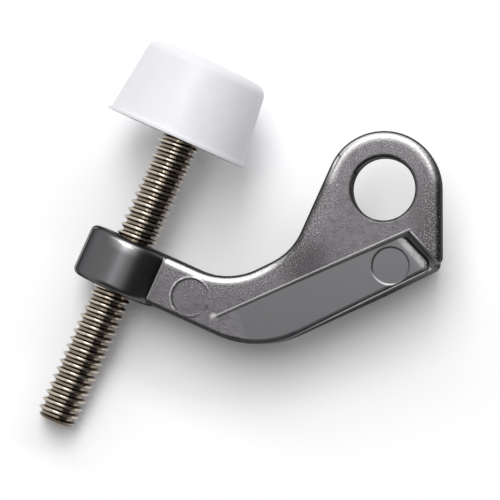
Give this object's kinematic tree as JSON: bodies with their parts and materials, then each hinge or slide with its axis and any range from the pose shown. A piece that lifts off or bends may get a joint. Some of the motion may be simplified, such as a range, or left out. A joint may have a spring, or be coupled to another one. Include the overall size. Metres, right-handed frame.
{
  "type": "hinge pin door stop",
  "caption": "Cast door stop: an eye drops over a door's hinge pin, a foot bears on the trim, and a threaded rod with a soft bumper sets how far the door opens.",
  "frame": {"origin": "centre of the hinge pin bore, on the underside of the eye", "axes": "+Z along the hinge pin, from the eye's underside to its upper face; +Y along the threaded rod towards the bumper; +X from the rod towards the eye"},
  "size_m": [0.0559, 0.0614, 0.023],
  "materials": {
    "cast_metal": "as cast, dark satin plating",
    "plated_steel": "bright nickel plating",
    "white_rubber": "smooth satin"
  },
  "bodies": {
    "arm": {"cast_arm": "cast_metal"},
    "bumper": {"bumper_cap": "white_rubber"},
    "rod": {"threaded_rod": "plated_steel"}
  },
  "joints": [
    {"name": "rod_travel", "type": "slide", "parent": "arm", "child": "bumper", "axis": [0, 1, 0], "range_m": [-0.01651, 0.02032]},
    {"name": "rod_turn", "type": "hinge", "parent": "bumper", "child": "rod", "pos_m": [-0.0316, -0.0267, 0.0006], "axis": [0, 1, 0], "range_deg": [-4684, 5764]}
  ],
  "couplings": [
    {"joint": "rod_turn", "follows": "rod_travel", "rad_per_m": 4947.4}
  ]
}
